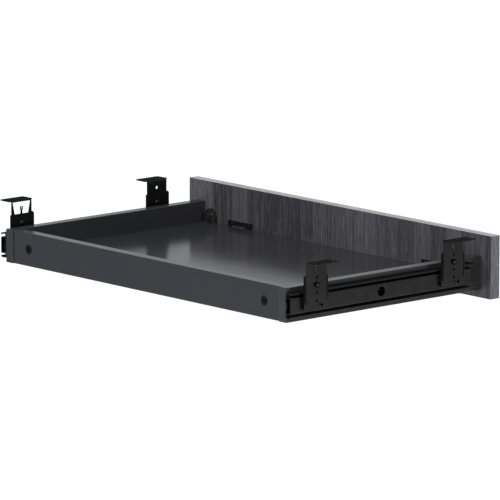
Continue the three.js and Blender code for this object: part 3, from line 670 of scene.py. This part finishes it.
def black_paint(name, base, roughness):
    """Electrophoretic black paint on pressed steel: thin, even, a little orange peel, rubbed at rims."""
    material, tree, shader = new_material(name, metallic=1.0, specular_tint=(0.25, 0.25, 0.25, 1))
    where = node(tree, "TexCoord").outputs["Object"]
    marks = use_group(tree, handling, size=45.0, dust=0.5)
    peel = node(tree, "TexNoise", {"Vector": where, "Scale": 1100.0, "Detail": 2.0})
    darker, lighter = tuple(c * 0.85 for c in base), tuple(c * 1.1 for c in base)
    cloud = ramp(tree, marks["Smudge"], [(0.3, darker), (0.7, lighter)])
    rim_wear_and_highlight_mask = use_group(tree, rim_wear_and_highlight, amount=0.35, size=350.0)["Mask"]
    marked = math_node(tree, "MAXIMUM", rim_wear_and_highlight_mask, math_node(tree, "MULTIPLY", marks["Specks"], 0.3))
    mixed = node(tree, "Mix", {0: marked, "A": cloud, "B": (0.2, 0.2, 0.2, 1)}, data_type="RGBA")
    tree.links.new(mixed.outputs["Result"], shader.inputs["Base Color"])
    rough = math_node(tree, "MULTIPLY_ADD", peel.outputs["Fac"], 0.12, roughness - 0.06)
    tree.links.new(rough, shader.inputs["Roughness"])
    bump(tree, shader, peel.outputs["Fac"], 0.12, 0.0002)
    return material


painted = black_paint("black_painted_steel", (0.05, 0.05, 0.0485), 0.36)
for side, sign in SIDES.items():
    low, high = cad_box(f"angle_bracket_{side}")
    thickness = 1.8
    profile = bent_strip((low.y + thickness / 2, high.z), -90,
                         [(high.z - low.z - 0.9 - 1.2, 90, 1.2), (high.y - low.y - 2.1, 0, 0)], thickness)
    angle_piece = prism(profile, "x", low.x, high.x)
    near, far = (low.x, high.x) if sign > 0 else (high.x, low.x)
    gap = [near + sign * 15, far - sign * 7.2]
    between = slab((min(gap), low.y - 1, low.z - 1), (max(gap), high.y + 1, low.z + 2))
    screws = [cad_box(f"angle_screw_{side}_{i}") for i in (1, 2)]
    holes = [hole("y", [(a.x + b.x) / 2, (a.z + b.z) / 2], 3.3, low.y - 1, high.y + 1) for a, b in screws]
    finished(combine(angle_piece, [between, *holes]), f"front_angle_{side}", "tray",
             [f"angle_bracket_{side}"], [painted], 0.2)

# ---- Screws --------------------------------------------------------------------------------------
# Pan-head and countersunk wood screws with cross recesses: bright zinc plate in the slides, black in
# the corner blocks and the angle brackets.


def cross_recess(axis, centre, start, depth, span, width):
    """Two crossed wedges that narrow downwards, as a driver bit leaves them."""
    u, v, w = {"x": (1, 2, 0), "y": (0, 2, 1)}[axis]
    wedges = []
    for half_u, half_v in ((span / 2, width / 2), (width / 2, span / 2)):
        bm = bmesh.new()
        rings = []
        for along, share in ((-depth * 0.3, 1.15), (depth, 0.35)):
            ring = []
            for a, b in ((-1, -1), (1, -1), (1, 1), (-1, 1)):
                point = [0, 0, 0]
                point[u] = centre[0] + a * (half_u * share if half_u > half_v else half_u)
                point[v] = centre[1] + b * (half_v * share if half_v > half_u else half_v)
                point[w] = start + along
                ring.append(bm.verts.new(point))
            rings.append(ring)
            bm.faces.new(ring)
        for i in range(4):
            j = (i + 1) % 4
            bm.faces.new((rings[0][i], rings[0][j], rings[1][j], rings[1][i]))
        wedges.append(from_bmesh(bm))
    return wedges


def screw_piece(name, cad_node, axis, direction, head, shank, material, recess):
    """A screw in its CAD box. direction is where its point goes; head and shank are stations."""
    low, high = cad_box(cad_node)
    u, v, w = {"x": (1, 2, 0), "y": (0, 2, 1)}[axis]
    centre = [(low[u] + high[u]) / 2, (low[v] + high[v]) / 2]
    start = low[w] if direction > 0 else high[w]
    body = lathe(axis, direction, start, centre, head + shifted(shank, head[-1][0]), 24)
    span, width, depth = recess
    combine(body, cross_recess(axis, centre, start, direction * depth, span, width))
    finished(body, name, "tray", [cad_node], [material], 0)


wood_thread = thread(9.5, 3, 1.3, 0.45) + [(12, 0.9)]
for side, sign in SIDES.items():
    pan = domed(1.4, 5.6, 0.35)
    screw_piece(f"corner_screw_{side}", f"connector_screw_{side}", "y", -1, pan,
                [(0, 3), (2, 3)] + shifted(wood_thread, 2), black_plate, (3.0, 0.75, 1.1))
    for i in (1, 2):
        screw_piece(f"bracket_screw_{side}_{i}", f"angle_screw_{side}_{i}", "y", -1, pan,
                    shifted(wood_thread, 1.2), blackened, (3.0, 0.75, 1.1))
    for i in (1, 2, 3):
        screw_piece(f"slide_screw_{side}_{i}", f"channel_screw_{side}_{i}", "x", -sign,
                    [(0, 5.2), (0.25, 6.5), (0.6, 6.6), (2.0, 3.4)],
                    thread(8.6, 3.4, 1.4, 0.5) + [(10.8, 1)], zinc, (3.4, 0.8, 1.3))

# ---- Slides: tray channels and desk members ------------------------------------------------------
# Roll-formed steel, painted black. The tray's member is a C with inturned lips that hold the balls;
# the desk's shallower member runs inside it, flush with the lips, and has a round screwdriver hole.

SHEET, LIP = 1.2, 3
ACCESS, ACCESS_FROM_REAR = 14.4, 174.9
SCREW_SLOT, SCREW_SLOT_FROM_SCREW = 4.6, 32
for side, sign in SIDES.items():
    low, high = cad_box(f"tray_channel_{side}")
    depth = max(abs(low.x), abs(high.x)) - half_tray
    middle_z, half_height = (low.z + high.z) / 2, (high.z - low.z) / 2
    bend = SHEET / 2 + 1.0
    wall = depth - SHEET / 2 - 2 * bend
    lip = LIP - SHEET / 2 - bend
    profile = bent_strip((depth - SHEET / 2, middle_z - half_height + LIP), -90,
                         [(lip, -90, bend), (wall - 0.15, -90, bend),
                          (2 * half_height - SHEET - 2 * bend, -90, bend), (wall - 0.15, -90, bend),
                          (lip, 0, 0)], SHEET)
    channel = prism(mirrored(profile, sign), "y", low.y, high.y)
    stops = [slab((min(out(sign, 0.6), out(sign, reach)), y, middle_z - tall / 2),
                  (max(out(sign, 0.6), out(sign, reach)), y + SHEET, middle_z + tall / 2))
             for reach, y, tall in ((2.4, high.y - SHEET, 9), (8, low.y, 22))]
    channel = combine(channel, stops, "UNION")
    screw_y = [sum(c.y for c in cad_box(f"channel_screw_{side}_{i}")) / 2 for i in (1, 2, 3)]
    cuts = [hole("x", [y, middle_z], 6.9, out(sign, -1), out(sign, 2.2)) for y in screw_y]
    for y in screw_y[:2]:
        slot_y = y - SCREW_SLOT_FROM_SCREW
        slot_ends = [*arc(slot_y + 4, middle_z, SCREW_SLOT / 2, -90, 90, 10),
                     *arc(slot_y - 4, middle_z, SCREW_SLOT / 2, 90, 270, 10)]
        cuts.append(prism(slot_ends, "x", out(sign, -1), out(sign, 2.2)))
    finished(combine(channel, cuts), f"tray_slide_{side}", "tray", [f"tray_channel_{side}"],
             [painted], 0.18)

    low, high = cad_box(f"desk_member_{side}")
    top, inner = high.z, 2.8
    wall = depth - SHEET / 2 - bend - inner
    profile = bent_strip((inner, top - SHEET / 2), 0,
                         [(wall, -90, bend), (high.z - low.z - SHEET - 2 * bend, -90, bend), (wall, 0, 0)],
                         SHEET)
    member = prism(mirrored(profile, sign), "y", low.y, high.y)
    stop = slab((min(out(sign, 1.6), out(sign, 3.3)), low.y, top - SHEET),
                (max(out(sign, 1.6), out(sign, 3.3)), low.y + SHEET, top))
    member = combine(member, [stop], "UNION")
    rivets = [cad_box(f"foot_rivet_{side}_{station}_{i}") for station in ("rear", "front") for i in (1, 2)]
    rivet_at = [((a.y + b.y) / 2, (a.z + b.z) / 2) for a, b in rivets]
    cuts = [hole("x", at, 4.2, out(sign, depth - 3), out(sign, depth + 1)) for at in rivet_at]
    cuts.append(hole("x", [high.y - ACCESS_FROM_REAR, middle_z], ACCESS, out(sign, depth - 3),
                     out(sign, depth + 1), 48))
    finished(combine(member, cuts), f"desk_slide_{side}", "hangers", [f"desk_member_{side}"],
             [painted], 0.18)

# ---- Ball cages ----------------------------------------------------------------------------------
# A thin steel retainer holds five steel balls to a row, top and bottom, between the two
# members of each slide, and creeps along at half the tray's travel. Both are coloured near-black as painted
# shade.

# painted shade: the retainer and the balls are coloured near-black for the shade they sit in inside the
# channel.
retainer_in_shade = plated_steel("retainer_painted_shade", (0.012, 0.012, 0.012), 0.5, 0.1)
balls_in_shade = plated_steel("balls_painted_shade", (0.02, 0.0195, 0.018), 0.55, 0.12)
BALLS, BALL, PITCH = 5, 4.6, 20
STRIP, STRIP_BEND, WINDOW_RADIUS, WINDOW_HALF = 0.8, 1.2, 4, 3.5
for side, sign in SIDES.items():
    low, high = cad_box(f"ball_cage_{side}")
    middle_y, middle_z = (low.y + high.y) / 2, (low.z + high.z) / 2
    inner, outer = sorted(abs(x) - half_tray for x in (low.x, high.x))
    ball_z = (high.z - low.z - BALL) / 2
    arm = ball_z + STRIP / 2
    wall = outer - inner - STRIP / 2 - STRIP_BEND
    profile = bent_strip((outer, middle_z - arm + STRIP / 2), 180,
                         [(wall, -90, STRIP_BEND), (2 * arm - STRIP - 2 * STRIP_BEND, -90, STRIP_BEND),
                          (wall, 0, 0)], STRIP)
    strip = prism(mirrored(profile, sign), "y", low.y, high.y)
    ball_x = outer - 0.4 - BALL / 2
    spots = [(out(sign, ball_x), middle_y + (i - (BALLS - 1) / 2) * PITCH) for i in range(BALLS)]
    pockets = [hole("z", at, BALL + 0.5, middle_z - arm - 3, middle_z + arm + 3, 24) for at in spots]
    windows = []
    for i in range(BALLS - 1):
        at_y = middle_y + (i - (BALLS - 2) / 2) * PITCH
        windows.append(prism([*arc(at_y + WINDOW_HALF, middle_z, WINDOW_RADIUS, -90, 90, 10),
                              *arc(at_y - WINDOW_HALF, middle_z, WINDOW_RADIUS, 90, 270, 10)],
                             "x", out(sign, inner - 1), out(sign, inner + 2)))
    strip = combine(strip, [*pockets, *windows])
    ball_middles = [Vector((x, y, middle_z + row * ball_z)) for x, y in spots for row in (-1, 1)]
    balls = []
    for middle in ball_middles:
        bm = bmesh.new()
        bmesh.ops.create_icosphere(bm, subdivisions=3, radius=BALL / 2)
        bm.transform(Matrix.Translation(middle))
        balls.append(from_bmesh(bm))

    def is_ball(centre, normal):
        return int(any(abs((centre - middle).length - BALL / 2) < 0.05 for middle in ball_middles))

    finished(merged([strip, *balls]), f"ball_retainer_{side}", f"cage_{side}", [f"ball_cage_{side}"],
             [retainer_in_shade, balls_in_shade], 0, 2, is_ball, None, False)

# ---- Hanger brackets -----------------------------------------------------------------------------
# Pressed steel, one to each hanger: the lower edge folds back into a foot riveted to the desk's slide
# member, and two flanges guide the upper plate. One pressing serves both sides, turned round.

BRACKET_SHEET, FLANGE_SHEET, FLANGE_REACH, FLANGE_CORNER = 1.5, 1.2, 4.1, 1.5
HEIGHT_HOLE, RIVET_HOLE, TOOL_HOLE = 4.8, 4.2, 5
for side, sign in SIDES.items():
    for station in ("rear", "front"):
        at = f"{side}_{station}"
        low, high = cad_box(f"hanger_bracket_{at}")
        middle_y = (low.y + high.y) / 2
        foot_inner, tip = sorted(abs(x) - half_tray for x in (low.x, high.x))
        base = tip - FLANGE_REACH
        fold = (base + BRACKET_SHEET - foot_inner) / 2 - BRACKET_SHEET / 2
        foot_top, sheet_top, short_top, flange_bottom = 37, 66.4, 64.6, 28.2
        profile = bent_strip((foot_inner + BRACKET_SHEET / 2, foot_top), -90,
                             [(foot_top - low.z - fold - BRACKET_SHEET / 2, 180, fold),
                              (sheet_top - low.z - fold - BRACKET_SHEET / 2, 0, 0)], BRACKET_SHEET, 16)
        sheet = prism(mirrored(profile, sign), "y", low.y, high.y)
        joins = []
        for end in (-1, 1):
            top = short_top if end == sign else high.z
            edge = middle_y + end * ((high.y - low.y) / 2 - 1.9)
            turn_at = tip - FLANGE_CORNER
            rim = [(base, flange_bottom),
                   *arc(turn_at, flange_bottom + FLANGE_CORNER, FLANGE_CORNER, -90, 0, 6),
                   *arc(turn_at, top - FLANGE_CORNER, FLANGE_CORNER, 0, 90, 6), (base, top)]
            joins.append(prism(mirrored(rim, sign), "y", edge, edge - end * FLANGE_SHEET))
        sheet = combine(sheet, joins, "UNION")
        bolt = cad_box(f"height_bolt_{at}")
        bolt_z = (bolt[0].z + bolt[1].z) / 2
        through = (out(sign, foot_inner - 1), out(sign, base + 3))
        behind = out(sign, base - 0.8)
        rivets = [cad_box(f"foot_rivet_{at}_{i}") for i in (1, 2)]
        slit_y, front_skin = middle_y + sign * 5.3, sorted((behind, through[1]))
        cuts = [hole("x", [middle_y, bolt_z], HEIGHT_HOLE, behind, through[1]),
                hole("x", [middle_y + sign * 10.9, 22.2], TOOL_HOLE, *through),
                slab((front_skin[0], slit_y - 0.5, low.z - 1), (front_skin[1], slit_y + 0.5, 27))]
        cuts += [hole("x", [(a.y + b.y) / 2, (a.z + b.z) / 2], RIVET_HOLE, through[0], behind)
                 for a, b in rivets]
        finished(combine(sheet, cuts), f"bracket_{at}", "hangers", [f"hanger_bracket_{at}"],
                 [painted], 0.2)

# ---- Hanger plates -------------------------------------------------------------------------------
# Pressed steel angles that slide in the brackets for height: a row of holes down the upright and two
# screw holes in the pad that goes up against the desk. One is pierced with a window and a tongue.

PLATE_SHEET, HALF_PLATE = 1.6, 19.2
PAD_CORNER, PAD_HOLE, PAD_HOLE_FROM_EDGE, PAD_HOLE_FROM_MIDDLE = 2.5, 5, 9.6, 17.5
HOLES, TOP_HOLE_Z, HOLE_PITCH = 5, 75, 11.2
WINDOW_BOTTOM, WINDOW_TOP, EYE_RADIUS, EYE_HOLE, TONGUE = 66.4, 84.7, 2.8, 2.8, 2.8
for side, sign in SIDES.items():
    for station in ("rear", "front"):
        at = f"{side}_{station}"
        low, high = cad_box(f"hanger_plate_{at}")
        middle_y, half_pad = (low.y + high.y) / 2, (high.y - low.y) / 2
        inner, edge = sorted(abs(x) - half_tray for x in (low.x, high.x))
        bend = PLATE_SHEET
        profile = bent_strip((inner + PLATE_SHEET / 2, low.z), 90,
                             [(high.z - low.z - PLATE_SHEET / 2 - bend, -90, bend),
                              (edge - inner - PLATE_SHEET / 2 - bend, 0, 0)], PLATE_SHEET, 10)
        sheet = prism(mirrored(profile, sign), "y", low.y, high.y)
        cuts = []
        upright_x = sorted((out(sign, inner - 1), out(sign, inner + PLATE_SHEET / 2 + bend)))
        through = (out(sign, inner - 1), out(sign, inner + 3))
        for end in (-1, 1):
            waste_y = sorted((middle_y + end * HALF_PLATE, middle_y + end * (half_pad + 1)))
            cuts.append(slab((upright_x[0], waste_y[0], low.z - 1), (upright_x[1], waste_y[1], high.z + 1)))
            corner = (out(sign, edge - PAD_CORNER), middle_y + end * (half_pad - PAD_CORNER))
            turn = [(corner[0] + sign * PAD_CORNER * math.cos(t), corner[1] + end * PAD_CORNER * math.sin(t))
                    for t in [math.pi / 2 * i / 8 for i in range(9)]]
            outside = [(corner[0], corner[1] + end * 4), (corner[0] + sign * 4, corner[1] + end * 4),
                       (corner[0] + sign * 4, corner[1])]
            cuts.append(prism(turn + outside, "z", high.z - 3, high.z + 1))
            pad_hole = [out(sign, edge - PAD_HOLE_FROM_EDGE), middle_y + end * PAD_HOLE_FROM_MIDDLE]
            cuts.append(hole("z", pad_hole, PAD_HOLE, high.z - 3, high.z + 1))
        windowed = at == "right_rear"
        for i in range(2 if windowed else 0, HOLES):
            cuts.append(hole("x", [middle_y, TOP_HOLE_Z - i * HOLE_PITCH], HEIGHT_HOLE, *through))
        if windowed:
            eye = [(middle_y + EYE_RADIUS * math.cos(t), TOP_HOLE_Z + EYE_RADIUS * math.sin(t))
                   for t in [math.radians(-60 + 300 * i / 20) for i in range(21)]]
            window = [(middle_y + 13.5, WINDOW_BOTTOM), (middle_y + 17.3, WINDOW_TOP),
                      (middle_y - 17.3, WINDOW_TOP), (middle_y - 13.5, WINDOW_BOTTOM),
                      (middle_y - TONGUE / 2, WINDOW_BOTTOM), *eye[::-1],
                      (middle_y + TONGUE / 2, WINDOW_BOTTOM)]
            cuts.append(prism(window, "x", *through))
            cuts.append(hole("x", [middle_y, TOP_HOLE_Z], EYE_HOLE, *through, 20))
        finished(combine(sheet, cuts), f"plate_{at}", "hangers", [f"hanger_plate_{at}"],
                 [painted], 0.2)

# ---- Height bolts, nuts and rivets ---------------------------------------------------------------
# One bolt through each bracket and plate sets the height, held by a small hexagon nut. Domed rivets
# close the folded foot of each bracket onto the desk's slide member.

BOLT_HEAD, BOLT_HEAD_HEIGHT, BOLT_SHANK = 9, 1.9, 4.4
for side, sign in SIDES.items():
    for station in ("rear", "front"):
        at = f"{side}_{station}"
        low, high = cad_box(f"height_bolt_{at}")
        centre = [(low.y + high.y) / 2, (low.z + high.z) / 2]
        length = high.x - low.x
        start = low.x if sign > 0 else high.x
        shank = length - BOLT_HEAD_HEIGHT
        shank_stations = [(0, BOLT_SHANK)] + shifted(thread(shank - 1.3, BOLT_SHANK, 0.7, 0.3), 0.5)
        shank_stations.append((shank, 3.1))
        bolt = lathe("x", sign, start, centre, domed(BOLT_HEAD_HEIGHT, BOLT_HEAD, 0.4)
                     + shifted(shank_stations, BOLT_HEAD_HEIGHT), 32)
        combine(bolt, cross_recess("x", centre, start, sign * 1.3, 4.2, 0.9))
        finished(bolt, f"bolt_{at}", "hangers", [f"height_bolt_{at}"], [black_plate], 0)

        low, high = cad_box(f"height_nut_{at}")
        across = max(high.y - low.y, high.z - low.z) / 2
        turns = [math.pi / 3 * i for i in range(6)]
        hexagon = [(centre[0] + across * math.sin(t), centre[1] + across * math.cos(t)) for t in turns]
        if high.y - low.y > high.z - low.z:
            hexagon = [(centre[0] + across * math.cos(t), centre[1] + across * math.sin(t)) for t in turns]
        nut = prism(hexagon, "x", low.x, high.x)
        chamfer = lathe("x", 1, low.x, centre, [(0, 1.72 * across), (0.45, 2.02 * across),
                                                (high.x - low.x - 0.45, 2.02 * across),
                                                (high.x - low.x, 1.72 * across)], 48)
        nut = combine(nut, [chamfer], "INTERSECT")
        nut = combine(nut, [hole("x", centre, 4.6, low.x - 1, high.x + 1, 24)])
        finished(nut, f"nut_{at}", "hangers", [f"height_nut_{at}"], [blackened], 0.12)

        for i in (1, 2):
            low, high = cad_box(f"foot_rivet_{at}_{i}")
            centre = [(low.y + high.y) / 2, (low.z + high.z) / 2]
            start = low.x if sign > 0 else high.x
            length = high.x - low.x
            rivet = lathe("x", sign, start, centre, domed(0.5, 6.4, 0.1) + [
                (0.5, 4), (length - 0.5, 4), (length - 0.15, 3.7), (length, 3)], 24)
            finished(rivet, f"rivet_{at}_{i}", "hangers", [f"foot_rivet_{at}_{i}"],
                     [painted], 0)

# ---- Studio --------------------------------------------------------------------------------------
# A pale floor well below the drawer, as under a desk, a broad soft lamp behind its rear edge, pale
# surroundings that are brightest beyond the front, and a long lens a few metres away.

FLOOR_DROP = 0.75
floor_mesh = bpy.data.meshes.new("floor")
bm = bmesh.new()
bmesh.ops.create_circle(bm, cap_ends=True, segments=96, radius=2.4)
bm.to_mesh(floor_mesh)
bm.free()
floor = bpy.data.objects.new("floor", floor_mesh)
floor.location = (0, 0, -FLOOR_DROP)
bpy.context.scene.collection.objects.link(floor)
pale, tree, shader = new_material("pale_floor", base_color=(0.92, 0.92, 0.92, 1), roughness=0.8,
                                  emission_color=(1, 1, 1, 1), emission_strength=0.5)
floor_mesh.materials.append(pale)
floor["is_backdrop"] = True

world = bpy.data.worlds.new("studio")
bpy.context.scene.world = world
world.use_nodes = True
sky = world.node_tree
direction = node(sky, "TexCoord").outputs["Generated"]


def glow(towards, inner, outer, strength):
    """A soft patch of brightness round one direction."""
    facing = node(sky, "VectorMath", {0: direction, 1: Vector(towards).normalized()}, operation="DOT_PRODUCT")
    patch = node(sky, "MapRange", {"Value": facing.outputs["Value"], "From Min": outer, "From Max": inner,
                                   "To Min": 0.0, "To Max": strength}, interpolation_type="SMOOTHSTEP")
    return patch.outputs["Result"]


beyond_front = glow((0.74, -0.65, 0.3), 0.92, 0.55, 0.53)
low_left = glow((-0.74, -0.65, -0.18), 0.95, 0.5, 0.37)
light = math_node(sky, "ADD", beyond_front, low_left)
light = math_node(sky, "ADD", light, glow((0, 0, 1), 0.8, 0.2, 0.25))
light = math_node(sky, "ADD", light, 0.05)
seen = node(sky, "LightPath").outputs["Is Camera Ray"]
shown = node(sky, "Mix", {0: seen, "A": light, "B": 1.12}, data_type="FLOAT")
background = sky.nodes["Background"]
sky.links.new(shown.outputs[0], background.inputs["Strength"])
background.inputs["Color"].default_value = (0.95, 0.97, 1, 1)


def softbox(name, towards, distance, size, power):
    """A square lamp that way from the drawer, turned to face it."""
    lamp = bpy.data.lights.new(name, "AREA")
    lamp.size = size
    lamp.energy = power
    holder = bpy.data.objects.new(name, lamp)
    holder.location = Vector(towards).normalized() * distance
    holder.rotation_euler = (-holder.location).to_track_quat("-Z", "Y").to_euler()
    bpy.context.scene.collection.objects.link(holder)


softbox("rear_softbox", (-0.2, 0.85, 0.5), 4.2, 5.6, 360)

AZIMUTH, ELEVATION = math.radians(228.58), math.radians(10.529)
camera_aim, camera_distance = Vector((-0.1206, 0.0744, -0.0209)), 9.0
lens = bpy.data.cameras.new("camera")
lens.sensor_width = 36
lens.lens = 446.34
lens.clip_end = 60
camera = bpy.data.objects.new("camera", lens)
level = math.cos(ELEVATION)
back = Vector((math.sin(AZIMUTH) * level, -math.cos(AZIMUTH) * level, math.sin(ELEVATION)))
camera.location = camera_aim + back * camera_distance
camera.rotation_euler = (-back).to_track_quat("-Z", "Y").to_euler()
bpy.context.scene.collection.objects.link(camera)
bpy.context.scene.camera = camera
bpy.context.scene.view_settings.view_transform = "Standard"

low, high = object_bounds()
{"cad": [list(cad_low), list(cad_high)], "visual": [list(low), list(high)]}
